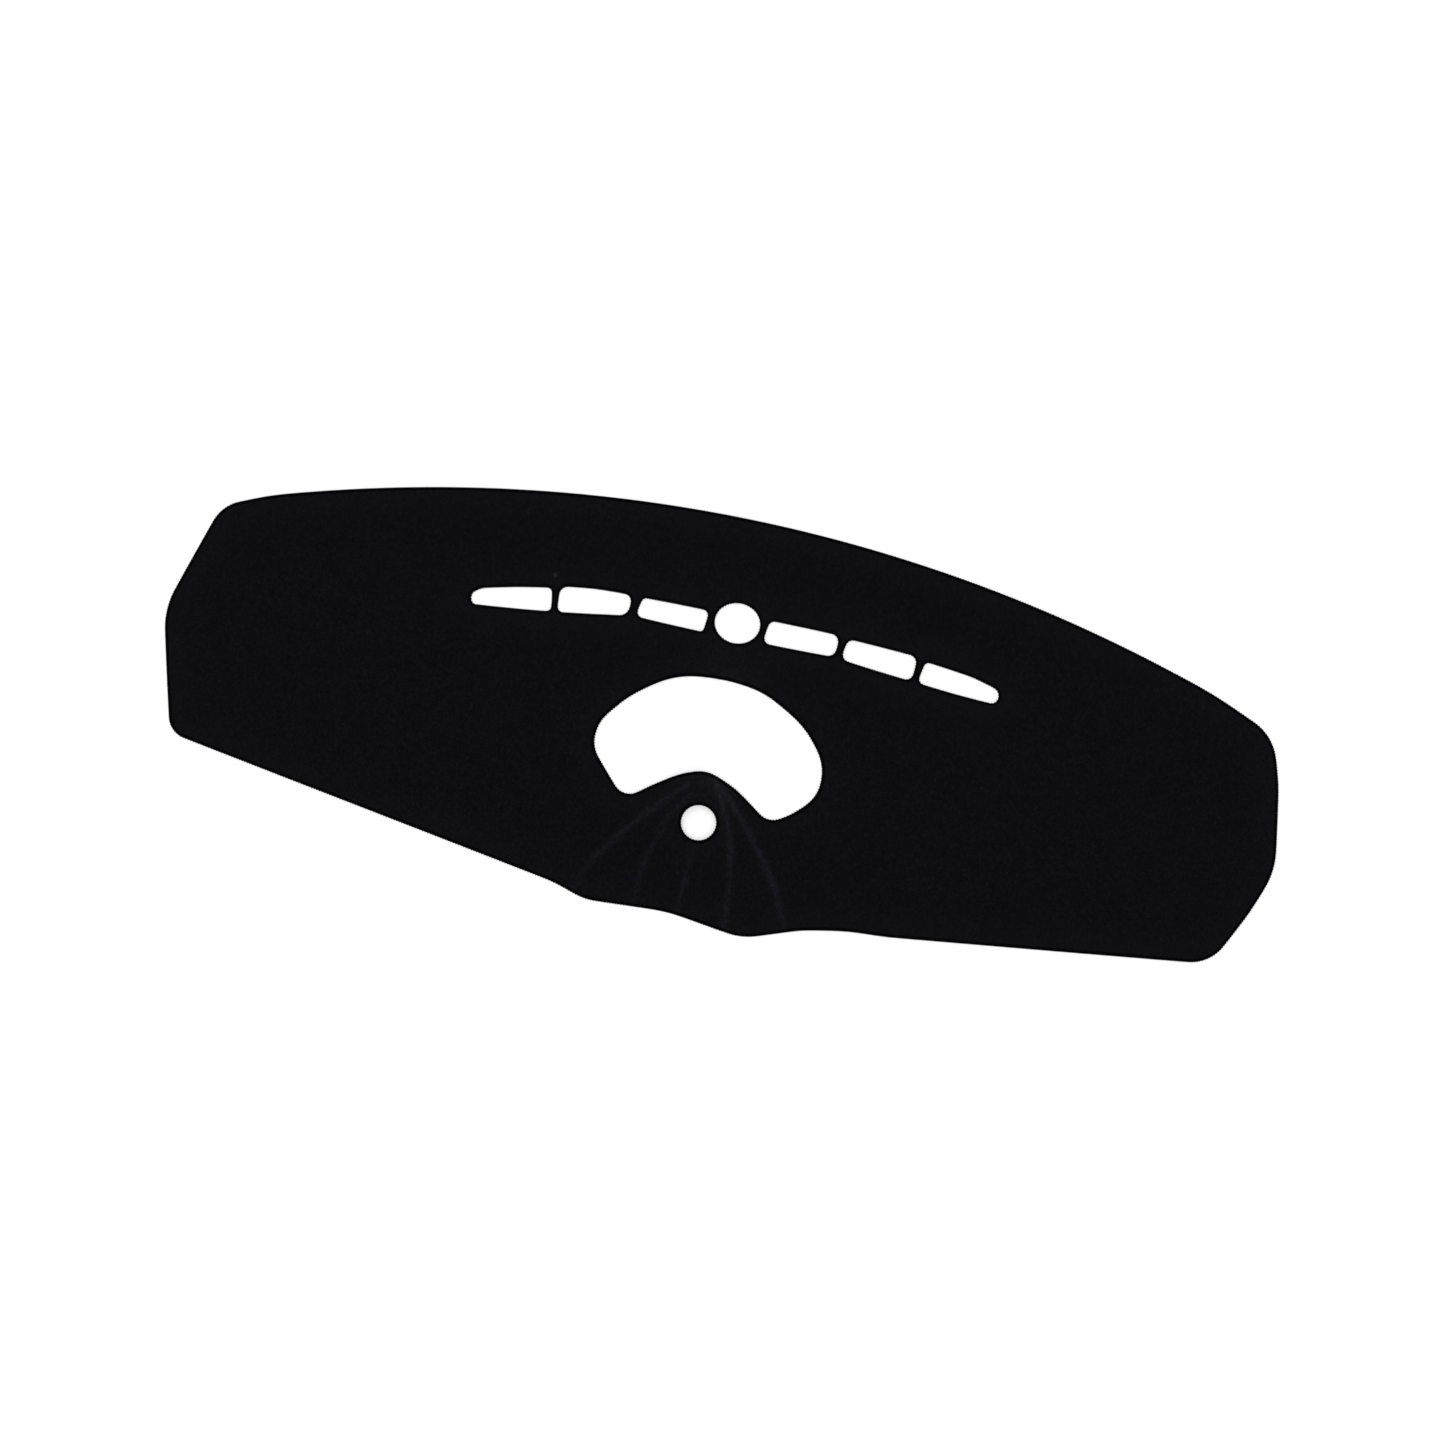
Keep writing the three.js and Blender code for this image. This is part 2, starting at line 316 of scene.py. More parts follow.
def hermite(start: Array, end: Array, out: Array, into: Array, count: int) -> Array:
    """Points of joined cubic curves, each given by its ends and its slopes there.

    Args:
        start: Start of each cubic.
        end: End of each cubic.
        out: Slope at each start.
        into: Slope at each end.
        count: Points made for each cubic.

    Returns:
        Points of all cubics in order, with the last end added.
    """
    t = np.linspace(0.0, 1.0, count, endpoint=False)[None, :, None]
    a, b, c, d = (value[:, None, :] for value in (start, end, out, into))
    points = (
        (2 * t**3 - 3 * t**2 + 1) * a
        + (3 * t**2 - 2 * t**3) * b
        + (t**3 - 2 * t**2 + t) * c
        + (t**3 - t**2) * d
    )
    return np.vstack([points.reshape(-1, 2), end[-1:]])


def distance_to_path(points: Array, path: Array, values: Array) -> tuple[Array, Array]:
    """Distance from each point to an open path, and the path's value at the nearest place.

    Each point is dropped square onto every straight piece of the path, and the nearest foot
    is kept.

    Args:
        points: Points, one a row.
        path: The path's points.
        values: A number at each of the path's points.

    Returns:
        Distances, and values worked out between the path's points.
    """
    start, side = path[:-1], np.diff(path, axis=0)
    length_squared = (side**2).sum(axis=1)
    away = np.empty(len(points))
    value = np.empty(len(points))
    chunk = max(1, CELLS_AT_ONCE // len(side))
    for first in range(0, len(points), chunk):
        part = points[first : first + chunk, None, :] - start[None]
        share = np.clip((part * side).sum(axis=2) / length_squared, 0.0, 1.0)
        gap = np.hypot(*np.moveaxis(part - share[..., None] * side, 2, 0))
        nearest = gap.argmin(axis=1)
        row = np.arange(len(nearest))
        away[first : first + chunk] = gap[row, nearest]
        step = share[row, nearest]
        value[first : first + chunk] = values[nearest] * (1 - step) + values[nearest + 1] * step
    return away, value


@dataclass(frozen=True)
class MatForm:
    """Everything that sets the height of the felt and of the threads on it, and where sheen is painted on
    the felt.
    """

    felt: Felt
    hood: Hood
    ripples: Ripples
    folds: Folds
    lip_sheen: LipSheen

    def base(self, x: Array, y: Array) -> Array:
        """Height of the flat underside with the hood and the ripples."""
        return self.hood.lift(x, y) + self.ripples.lift(x, y)


# Cut edges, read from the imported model


OUTER_FACE_HEIGHT = 1.4 * MM
HEIGHT_SLACK = 0.02 * MM
UPRIGHT_SLACK = 0.005 * MM
WELD = 0.001 * MM
OUTER_EDGE = "outer_edge"
DISPLAY_OPENING = "display_opening"
POINTS_A_SIDE = 24
FEWEST_POINTS = 12


@dataclass(frozen=True)
class CutEdge:
    """One cut edge of the felt: a closed loop with the felt on its left."""

    name: str
    corners: Array
    bite: float

    @classmethod
    def read(cls, name: str) -> "CutEdge":
        """Finds the finished edge in the band that stands for its overlock.

        The band's outer face is the only one made of upright sides of its own height, so its
        points are walked from one upright side to the next.

        Args:
            name: The band's name without its ending.

        Returns:
            The edge's loop and the depth of its stitches.
        """
        points, faces = welded_mesh(f"{name}_overlock")
        pairs = np.vstack([faces[:, [0, 1]], faces[:, [1, 2]], faces[:, [2, 0]]])
        sides = np.unique(np.sort(pairs, axis=1), axis=0)
        step = points[sides[:, 1]] - points[sides[:, 0]]
        upright = np.hypot(step[:, 0], step[:, 1]) < UPRIGHT_SLACK
        outer = sides[upright & (np.abs(np.abs(step[:, 2]) - OUTER_FACE_HEIGHT) < HEIGHT_SLACK)]
        top = np.where(points[outer[:, 0], 2] > points[outer[:, 1], 2], outer[:, 0], outer[:, 1])
        loop = points[walk_ring(sides, set(top.tolist())), :2]
        if (signed_area(loop) > 0) != (name == OUTER_EDGE):
            loop = loop[::-1]
        away, _ = distance_to_path(points[:, :2], closed(loop), np.zeros(len(loop) + 1))
        return cls(name, loop, float(away.max()))

    def smooth_points(self, step: float) -> Array:
        """Evenly spaced points along the edge, which follow its arcs smoothly.

        Between two corners the edge is a cubic. Its direction at a corner is that from the
        corner before to the corner after, so short sides turn into an arc and the sides of a
        long straight run stay straight.

        Args:
            step: Spacing wanted, in metres.

        Returns:
            Points of the closed loop, without the first one repeated.
        """
        here = self.corners
        before, after = np.roll(here, 1, axis=0), np.roll(here, -1, axis=0)
        heading = (after - before) / np.hypot(*(after - before).T)[:, None]
        length = np.hypot(*(after - here).T)[:, None]
        next_heading = np.roll(heading, -1, axis=0)
        dense = hermite(here, after, heading * length, next_heading * length, POINTS_A_SIDE)
        gone = np.concatenate([[0.0], np.cumsum(np.hypot(*np.diff(dense, axis=0).T))])
        count = max(FEWEST_POINTS, round(gone[-1] / step))
        places = np.linspace(0.0, gone[-1], count, endpoint=False)
        return np.stack([np.interp(places, gone, dense[:, i]) for i in (0, 1)], axis=1)


def welded_mesh(name: str) -> tuple[Array, Array]:
    """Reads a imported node's mesh, with the points that coincide made one.

    Args:
        name: The node's name.

    Returns:
        Points, one a row, and the point numbers of each triangle.
    """
    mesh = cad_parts[name].data
    places = np.empty(len(mesh.vertices) * 3, np.float32)
    mesh.vertices.foreach_get("co", places)
    corners = np.empty(len(mesh.loops), np.int32)
    mesh.loops.foreach_get("vertex_index", corners)
    cells = (places.reshape(-1, 3) / WELD).round().astype(np.int64)
    cells, merged = np.unique(cells, axis=0, return_inverse=True)
    return cells * WELD, merged.ravel()[corners].reshape(-1, 3)


def closed(loop: Array) -> Array:
    """The loop's points with the first one repeated at the end."""
    return np.vstack([loop, loop[:1]])


def walk_ring(sides: Array, members: set[int]) -> list[int]:
    """Orders the members of a closed ring by following the sides that join them.

    Args:
        sides: Pairs of point numbers that are joined.
        members: The ring's point numbers.

    Returns:
        The ring's point numbers in order.
    """
    joined: dict[int, list[int]] = {member: [] for member in members}
    for a, b in sides.tolist():
        if a in members and b in members:
            joined[a].append(b)
            joined[b].append(a)
    start = min(members)
    chain = [start]
    last, here = start, joined[start][0]
    while here != start:
        chain.append(here)
        last, here = here, next(point for point in joined[here] if point != last)
    return chain


def signed_area(loop: Array) -> float:
    """Area inside a closed loop, positive where it runs anticlockwise."""
    x, y = loop.T
    return 0.5 * float(np.sum(x * np.roll(y, -1) - np.roll(x, -1) * y))


def into_felt(loop: Array) -> Array:
    """Unit directions into the felt at each point of a finely divided loop.

    They are square to the line from the point before to the point after.

    Args:
        loop: Points of a closed loop with the felt on its left.

    Returns:
        Unit vectors, one a row.
    """
    along = np.roll(loop, -1, axis=0) - np.roll(loop, 1, axis=0)
    along /= np.hypot(*along.T)[:, None]
    return np.stack([-along[:, 1], along[:, 0]], axis=1)


# Meshes


def make_piece(name: str, points: Array, faces: Array) -> bpy.types.Object:
    """Makes an object whose place is in its mesh, and lets it ride on the mat.

    Args:
        name: The piece's name.
        points: Points, one a row.
        faces: Point numbers of each face, all with as many corners.

    Returns:
        The object.
    """
    mesh = bpy.data.meshes.new(name)
    corners = faces.shape[1]
    mesh.vertices.add(len(points))
    mesh.vertices.foreach_set("co", points.astype(np.float32).ravel())
    mesh.loops.add(faces.size)
    mesh.loops.foreach_set("vertex_index", faces.astype(np.int32).ravel())
    mesh.polygons.add(len(faces))
    mesh.polygons.foreach_set("loop_start", np.arange(0, faces.size, corners, dtype=np.int32))
    mesh.update(calc_edges=True)
    mesh.validate()
    mesh.shade_smooth()
    piece = bpy.data.objects.new(name, mesh)
    bpy.context.scene.collection.objects.link(piece)
    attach(piece, "root")
    return piece


def set_attribute(piece: bpy.types.Object, name: str, values: Array) -> None:
    """Stores one number for each point of a piece, for its material to read.

    Args:
        piece: The piece.
        name: The attribute's name.
        values: The numbers.
    """
    attribute = piece.data.attributes.new(name, "FLOAT", "POINT")
    attribute.data.foreach_set("value", values.astype(np.float32))


WHOLE_HULL = 0


@dataclass(frozen=True)
class FeltSheet:
    """The mat's one sheet of felt, as a closed surface with a top, an underside and cut edges."""

    form: MatForm
    edges: tuple[CutEdge, ...]
    edge_step: float = 3.0 * MM
    field_step: float = 6.6 * MM
    hood_step: float = 3.2 * MM
    ring_shares: tuple[float, ...] = (0.06, 0.26, 0.6, 1.0)
    beyond_needle: tuple[float, ...] = (-0.8 * MM, 0.1 * MM, 0.9 * MM, 1.9 * MM)
    fold_rails: tuple[float, ...] = (0.0, 0.7 * MM, 1.5 * MM, 2.3 * MM, 3.2 * MM, 4.6 * MM, 6.3 * MM)
    ring_slack: float = 0.1 * MM
    rail_margin: float = 2.3 * MM
    field_margin: float = 3.2 * MM
    beside_rails: float = 1.0 * MM
    fold_fade: float = 4.0 * MM
    fold_at_stitches: float = 0.25
    reach: float = 60.0 * MM
    rows_at_once: int = 4000
    merge_distance: float = 1e-7

    def build(self) -> bpy.types.Object:
        """Divides the plan into triangles and closes a top and an underside over it.

        Returns:
            The sheet's object.
        """
        rims = [self._ring(edge, self.form.felt.cut_edge) for edge in self.edges]
        inner = np.vstack([*self._rings(), self._fold_points(), self._field_points()])
        points, faces = self._divide(rims, inner)
        on_rim = np.arange(len(points)) < sum(len(rim) for rim in rims)
        distance, bite = self._edge_distance(points)
        x, y = points.T
        relief, pale = self.form.folds.relief(x, y)
        free = smooth(distance, bite, bite + self.fold_fade)
        relief *= self.fold_at_stitches + (1.0 - self.fold_at_stitches) * free
        relief[on_rim] = 0.0
        half = np.where(on_rim, 0.0, self.form.felt.half(distance, bite))
        middle = self.form.base(x, y) + self.form.felt.middle
        hollow = self.form.folds.under_share * np.maximum(relief, 0.0)
        top = np.column_stack([points, middle + half + relief])
        under = np.column_stack([points, middle - half + hollow])[~on_rim]
        lower = np.where(on_rim, np.arange(len(points)), len(points) + np.cumsum(~on_rim) - 1)
        both = np.vstack([faces, lower[faces[:, ::-1]]])
        piece = make_piece("felt_sheet", np.vstack([top, under]), both)
        # Painted sheen by the display opening's lip, added to that of the folds.
        pale = np.maximum(pale, self.form.lip_sheen.pale(x, self._lip_distance(points)))
        # The sheen painted on the folds and by the lip is stored for the felt's material.
        set_attribute(piece, SHEEN_MASK, np.concatenate([pale, np.zeros(len(under))]))
        set_attribute(piece, EDGE_MM, np.concatenate([distance, distance[~on_rim]]) / MM)
        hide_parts("mat_sheet")
        return piece

    def _ring(self, edge: CutEdge, distance: float) -> Array:
        """The edge's loop moved into the felt by a distance."""
        loop = edge.smooth_points(self.edge_step)
        return loop + distance * into_felt(loop)

    def _rings(self) -> list[Array]:
        """Rings of points beside each edge, where the felt is pressed and recovers.

        Returns:
            The rings, without the points that lie nearer to another edge.
        """
        felt = self.form.felt
        rings = []
        for edge in self.edges:
            insets = [felt.cut_edge + share * felt.cut_round for share in self.ring_shares]
            insets += [edge.bite + extra for extra in self.beyond_needle]
            for inset in insets:
                ring = self._ring(edge, inset)
                distance, _ = self._edge_distance(ring)
                rings.append(ring[distance > inset - self.ring_slack])
        return rings

    def _fold_points(self) -> Array:
        """Rows of points along each fold and beside it, close enough to draw its section.

        Returns:
            The points, one a row.
        """
        rails = np.unique([*self.fold_rails, *(-rail for rail in self.fold_rails)])
        rows = []
        for fold in self.form.folds.folds:
            path, _ = self.form.folds.path(fold)
            along = np.gradient(path, axis=0)
            across = np.stack([-along[:, 1], along[:, 0]], axis=1) / np.hypot(*along.T)[:, None]
            rows += [path + rail * across for rail in rails]
        return self._clear(np.vstack(rows), self.rail_margin)

    def _field_points(self) -> Array:
        """Staggered rows of points over the plan, closer together on the hood.

        Returns:
            The points, one a row.
        """
        hood = self.form.hood
        coarse = staggered(CAD_LOW, CAD_HIGH, self.field_step)
        x, y = coarse.T
        margin = 0.5 * self.field_step
        on_hood = (np.abs(x - hood.centre_x) < hood.half_width + margin) & (y < hood.lip_y + margin)
        low = Vector((hood.centre_x - hood.half_width, CAD_LOW.y, 0.0))
        high = Vector((hood.centre_x + hood.half_width, hood.lip_y, 0.0))
        fine = staggered(low, high, self.hood_step)
        folds = self.form.folds
        away = np.min([distance_to_path(fine, *folds.path(fold))[0] for fold in folds.folds], axis=0)
        fine = fine[away > self.fold_rails[-1] + self.beside_rails]
        return self._clear(np.vstack([coarse[~on_hood], fine]), self.field_margin)

    def _clear(self, points: Array, margin: float) -> Array:
        """Keeps the points that lie in the felt, a margin beyond the reach of the stitches.

        Args:
            points: Points, one a row.
            margin: The margin, in metres.

        Returns:
            The points kept.
        """
        distance, bite = self._edge_distance(points)
        loops = [edge.smooth_points(self.edge_step) for edge in self.edges]
        return points[(distance > bite + margin) & self._inside(points, loops)]

    def _lip_distance(self, points: Array) -> Array:
        """Distance from each point to the display opening's edge.

        Args:
            points: Points, one a row.

        Returns:
            The distances, in metres.
        """
        lip = next(edge for edge in self.edges if edge.name == DISPLAY_OPENING)
        loop = closed(lip.smooth_points(self.edge_step))
        return distance_to_path(points, loop, np.zeros(len(loop)))[0]

    def _inside(self, points: Array, loops: list[Array]) -> Array:
        """Whether each point is in the felt: inside an odd number of the loops.

        A ray runs from each point along +X, and the sides that it crosses are counted.

        Args:
            points: Points, one a row.
            loops: Closed loops, the outer one and those of the holes.

        Returns:
            One truth value for each point.
        """
        crossings = np.zeros(len(points), int)
        for loop in loops:
            start, end = loop, np.roll(loop, -1, axis=0)
            with np.errstate(divide="ignore", invalid="ignore"):
                lean = (end[:, 0] - start[:, 0]) / (end[:, 1] - start[:, 1])
            for first in range(0, len(points), self.rows_at_once):
                x, y = points[first : first + self.rows_at_once].T[:, :, None]
                spans = (start[:, 1] > y) != (end[:, 1] > y)
                with np.errstate(invalid="ignore"):
                    meets = start[:, 0] + (y - start[:, 1]) * lean
                crossings[first : first + self.rows_at_once] += (spans & (x < meets)).sum(axis=1)
        return crossings % 2 == 1

    def _edge_distance(self, points: Array) -> tuple[Array, Array]:
        """Distance from each point to the nearest finished edge, and the reach of its stitches.

        An edge is only measured from points within reach of its box.

        Args:
            points: Points, one a row.

        Returns:
            Distances, and how far that edge's stitches reach in, both in metres.
        """
        nearest = np.full(len(points), np.inf)
        bite = np.zeros(len(points))
        for edge in self.edges:
            loop = closed(edge.smooth_points(self.edge_step))
            low, high = loop.min(axis=0) - self.reach, loop.max(axis=0) + self.reach
            near = np.all((points > low) & (points < high), axis=1)
            away = np.full(len(points), np.inf)
            away[near], _ = distance_to_path(points[near], loop, np.zeros(len(loop)))
            closer = away < nearest
            nearest[closer] = away[closer]
            bite[closer] = edge.bite
        return nearest, bite

    def _divide(self, rims: list[Array], inner: Array) -> tuple[Array, Array]:
        """Triangles over the plan that keep every rim side, with what lies in the holes left out.

        Args:
            rims: The loops of the felt's cut edges.
            inner: Points inside the felt.

        Returns:
            The points, rims first, and the triangles, anticlockwise seen from above.
        """
        sides = []
        first = 0
        for rim in rims:
            sides += [(first + i, first + (i + 1) % len(rim)) for i in range(len(rim))]
            first += len(rim)
        points = np.vstack([*rims, inner])
        places = [Vector(point) for point in points]
        found = delaunay_2d_cdt(places, sides, [], WHOLE_HULL, self.merge_distance)
        if len(found[0]) != len(points):
            raise ValueError("two points of the felt's plan coincide")
        source = np.array([origin[0] for origin in found[3]])
        faces = source[np.array(found[2])]
        keep = (faces >= first).any(axis=1)
        keep[~keep] = self._inside(points[faces[~keep]].mean(axis=1), rims)
        return points, faces[keep]


def staggered(low: Vector, high: Vector, step: float) -> Array:
    """Points in rows, every second row moved by half a step, so that they form even triangles.

    Args:
        low: Lowest corner of the region.
        high: Highest corner of the region.
        step: Distance between neighbours.

    Returns:
        The points, one a row.
    """
    rows = np.arange(low.y, high.y, step * math.sin(math.pi / 3))
    columns = np.arange(low.x, high.x, step)
    x, y = np.meshgrid(columns, rows)
    x[1::2] += step / 2
    return np.stack([x.ravel(), y.ravel()], axis=1)


@dataclass(frozen=True)
class Overlock:
    """Three threads sewn over one cut edge: a needle thread and two loopers that meet on the edge."""

    form: MatForm
    edge: CutEdge
    pitch: float = 3.4 * MM
    radius: float = 0.29 * MM
    sides: int = 5
    looper_places: tuple[float, ...] = (0.0, 0.06, 0.16, 0.3, 0.44, 0.5, 0.56, 0.7, 0.84, 0.94)
    needle_places: tuple[float, ...] = (0.0, 0.22, 0.42, 0.5, 0.58, 0.78)
    slant: float = 0.1
    interlock: float = 0.3 * MM
    dip: float = 0.5 * MM
    dip_power: float = 6.0
    swing_power: float = 0.7
    turn_over: float = 0.16
    needle_room: float = 2.2
    spine_share: float = 0.72
    loop_step: float = 0.5 * MM

    def build(self) -> list[bpy.types.Object]:
        """Makes the three threads' pieces, which together stand for the edge's band.

        Returns:
            The pieces.
        """
        loop = self.edge.smooth_points(self.loop_step)
        stitches = round(loop_length(loop) / self.pitch)
        pieces = []
        for strand in Strand:
            places = self.needle_places if strand is Strand.NEEDLE else self.looper_places
            turn = (np.arange(stitches)[:, None] + np.array(places)[None]).ravel()
            path, spine = self._path(strand, loop, turn, stitches)
            piece = self._tube(f"{self.edge.name}_{strand.value}", path, spine, turn)
            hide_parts(f"{self.edge.name}_overlock")
            pieces.append(piece)
        return pieces

    def _path(self, strand: Strand, loop: Array, turn: Array, stitches: int) -> tuple[Array, Array]:
        """Places of a thread over every stitch, and of a spine inside the felt beside them.

        A looper swings from the edge to the needle line and back once a stitch: its distance
        from the edge is a raised cosine, it lies on the felt there, and at the edge it dips
        past the felt's middle to meet the other looper. The needle thread runs along its line
        and dips into the felt once a stitch.

        Args:
            strand: Which thread it is.
            loop: The finished edge.
            turn: Stitch numbers with fractions, one for each point.
            stitches: How many stitches go round the edge.

        Returns:
            The thread's points and the spine's points, one a row.
        """
        phase = 2.0 * np.pi * turn
        felt = self.form.felt
        if strand is Strand.NEEDLE:
            reach = np.full_like(turn, self.edge.bite - self.radius)
            lean = 0.0 * turn
        else:
            swing = (0.5 - 0.5 * np.cos(phase)) ** self.swing_power
            reach = self.radius + (self.edge.bite - self.needle_room * self.radius) * swing
            lean = self.slant * np.sin(phase) * (1 if strand is Strand.TOP_LOOPER else -1)
        centre, inwards = along_loop(loop, (turn + lean) / stitches)
        plan = centre + reach[:, None] * inwards
        spine_plan = centre + self.spine_share * self.edge.bite * inwards
        rest = felt.half(reach, np.full_like(reach, self.edge.bite)) + self.radius
        if strand is Strand.NEEDLE:
            side = rest - self.dip * (0.5 - 0.5 * np.cos(phase)) ** self.dip_power
        else:
            over = smooth(0.5 - 0.5 * np.cos(phase), 0.0, self.turn_over)
            side = rest * over - self.interlock * (1.0 - over)
        if strand is Strand.UNDER_LOOPER:
            side = -side
        most = felt.middle - self.radius
        height = self.form.base(*plan.T) + felt.middle + np.clip(side, -most, most)
        spine_height = self.form.base(*spine_plan.T) + felt.middle
        return np.column_stack([plan, height]), np.column_stack([spine_plan, spine_height])

    def _tube(self, name: str, path: Array, spine: Array, turn: Array) -> bpy.types.Object:
        """Carries a round section along a closed path.

        The section's first direction is square to the path in the plane of the path and the
        spine, so the tube never twists over on itself.

        Args:
            name: The piece's name.
            path: Points of the thread's middle line.
            spine: A point inside the felt for each of them.
            turn: Stitch numbers with fractions, for the pattern along the thread.

        Returns:
            The thread's object, with a UV map along and round it.
        """
        heading = np.roll(path, -1, axis=0) - np.roll(path, 1, axis=0)
        heading /= np.linalg.norm(heading, axis=1)[:, None]
        outwards = path - spine
        outwards -= (outwards * heading).sum(axis=1)[:, None] * heading
        outwards /= np.linalg.norm(outwards, axis=1)[:, None]
        sideways = np.cross(heading, outwards)
        angle = 2.0 * np.pi * np.arange(self.sides) / self.sides
        cosine, sine = np.cos(angle)[None, :, None], np.sin(angle)[None, :, None]
        ring = cosine * outwards[:, None] + sine * sideways[:, None]
        points = (path[:, None] + self.radius * ring).reshape(-1, 3)
        count = len(path)
        here = np.arange(count)[:, None] * self.sides
        ahead = (np.arange(count)[:, None] + 1) % count * self.sides
        side = np.arange(self.sides)[None]
        beside = (side + 1) % self.sides
        faces = np.stack([here + side, ahead + side, ahead + beside, here + beside], axis=2).reshape(-1, 4)
        piece = make_piece(name, points, faces)
        self._add_uv(piece, count, turn)
        return piece

    def _add_uv(self, piece: bpy.types.Object, count: int, turn: Array) -> None:
        """Stores the stitch number as U and the share of the way round the thread as V.

        Args:
            piece: The thread's object.
            count: Points of its middle line.
            turn: Stitch numbers with fractions, one for each of them.
        """
        wide = np.ones((count, self.sides))
        here = turn[:, None] * wide
        ahead = np.append(turn[1:], round(turn[-1] + 0.5))[:, None] * wide
        side = np.arange(self.sides)[None] / self.sides * wide
        beside = side + 1.0 / self.sides
        u = np.stack([here, ahead, ahead, here], axis=2)
        v = np.stack([side, side, beside, beside], axis=2)
        layer = piece.data.uv_layers.new(name=ALONG_THREAD)
        layer.uv.foreach_set("vector", np.stack([u, v], axis=3).astype(np.float32).ravel())


def loop_length(loop: Array) -> float:
    """Length of a closed loop."""
    return float(np.hypot(*(np.roll(loop, -1, axis=0) - loop).T).sum())


def along_loop(loop: Array, share: Array) -> tuple[Array, Array]:
    """Points and directions into the felt at shares of a closed loop's length.

    Args:
        loop: Points of the loop.
        share: Shares of its length, taken round again past 0 and 1.

    Returns:
        Points and unit vectors, one a row.
    """
    ring = closed(loop)
    inwards = closed(into_felt(loop))
    gone = np.concatenate([[0.0], np.cumsum(np.hypot(*np.diff(ring, axis=0).T))]) / loop_length(loop)
    place = np.mod(share, 1.0)
    point = np.stack([np.interp(place, gone, ring[:, i]) for i in (0, 1)], axis=1)
    normal = np.stack([np.interp(place, gone, inwards[:, i]) for i in (0, 1)], axis=1)
    return point, normal / np.hypot(*normal.T)[:, None]


# Finishes


def new_material(name: str) -> tuple[bpy.types.Material, Tree, bpy.types.Node]:
    """Makes a material with a Principled BSDF.

    Args:
        name: The material's name.

    Returns:
        The material, its node tree and its shader.
    """
    material = bpy.data.materials.new(name)
    material.use_nodes = True
    tree = material.node_tree
    return material, tree, tree.nodes["Principled BSDF"]


def noise_node(tree: Tree, place: Socket, detail: float, distortion: float) -> bpy.types.Node:
    """Adds a noise texture that reads a place.

    Args:
        tree: The tree that it goes into.
        place: The socket of its coordinates.
        detail: How many finer layers it has.
        distortion: How far it is swirled.

    Returns:
        The node, whose scale is still to be set.
    """
    node = tree.nodes.new("ShaderNodeTexNoise")
    node.inputs["Detail"].default_value = detail
    node.inputs["Distortion"].default_value = distortion
    tree.links.new(place, node.inputs["Vector"])
    return node


def fibre_group() -> Tree:
    """Shared effect of matted fibres: three layers of crossing hairs, needled tufts and mottling.

    Returns:
        A node group with a place and three sizes going in, and coming out the hairs' height,
        the tufts' tone and the mottling's tone, all from 0 to 1.
    """
    group = bpy.data.node_groups.new("matted_fibres", "ShaderNodeTree")
    face = group.interface
    face.new_socket("Place", in_out="INPUT", socket_type="NodeSocketVector")
    for name, usual in (("Hair Scale", 900.0), ("Tuft Scale", 190.0), ("Mottle Scale", 30.0)):
        face.new_socket(name, in_out="INPUT", socket_type="NodeSocketFloat").default_value = usual
    for name in ("Hair", "Tuft", "Mottle"):
        face.new_socket(name, in_out="OUTPUT", socket_type="NodeSocketFloat")
    source = group.nodes.new("NodeGroupInput")
    sink = group.nodes.new("NodeGroupOutput")
    highest: Socket | None = None
    for turn, length in ((0.4, 6.0), (1.5, 4.5), (2.6, 5.2)):
        mapping = group.nodes.new("ShaderNodeMapping")
        mapping.vector_type = "TEXTURE"
        mapping.inputs["Rotation"].default_value = (0.0, 0.0, turn)
        mapping.inputs["Scale"].default_value = (1.0, length, 1.0)
        group.links.new(source.outputs["Place"], mapping.inputs["Vector"])
        hair = noise_node(group, mapping.outputs["Vector"], 2.0, 1.2)
        group.links.new(source.outputs["Hair Scale"], hair.inputs["Scale"])
        height = hair.outputs["Fac"]
        highest = height if highest is None else math_node(group, "MAXIMUM", highest, height)
    group.links.new(highest, sink.inputs["Hair"])
    for name, detail in (("Tuft", 2.0), ("Mottle", 4.0)):
        layer = noise_node(group, source.outputs["Place"], detail, 0.4)
        group.links.new(source.outputs[f"{name} Scale"], layer.inputs["Scale"])
        group.links.new(layer.outputs["Fac"], sink.inputs[name])
    return group


def place_group(tree: Tree, group: Tree, scales: tuple[float, float, float]) -> bpy.types.Node:
    """Places the fibre group on Object coordinates.

    Args:
        tree: The material's tree.
        group: The shared group.
        scales: The scales of its hairs, tufts and mottling, each a count to the metre.

    Returns:
        The group's node.
    """
    node = tree.nodes.new("ShaderNodeGroup")
    node.node_tree = group
    tree.links.new(object_place(tree), node.inputs["Place"])
    for name, scale in zip(("Hair Scale", "Tuft Scale", "Mottle Scale"), scales):
        node.inputs[name].default_value = scale
    return node


def object_place(tree: Tree) -> Socket:
    """The place on the piece, in Object coordinates."""
    return tree.nodes.new("ShaderNodeTexCoord").outputs["Object"]


def attribute_node(tree: Tree, name: str) -> Socket:
    """Reads a number stored on the piece's points.

    Args:
        tree: The tree that the node goes into.
        name: The attribute's name.

    Returns:
        The socket of the number.
    """
    node = tree.nodes.new("ShaderNodeAttribute")
    node.attribute_name = name
    return node.outputs["Fac"]


def math_node(tree: Tree, operation: str, first: Socket, *others: Socket | float) -> Socket:
    """Adds a Math node.

    Args:
        tree: The tree that it goes into.
        operation: What it works out.
        first: The socket that feeds it first.
        others: A socket or a number for each further input.

    Returns:
        The socket of its result.
    """
    node = tree.nodes.new("ShaderNodeMath")
    node.operation = operation
    for socket, value in zip(node.inputs, (first, *others)):
        if isinstance(value, float):
            socket.default_value = value
        else:
            tree.links.new(value, socket)
    return node.outputs[0]


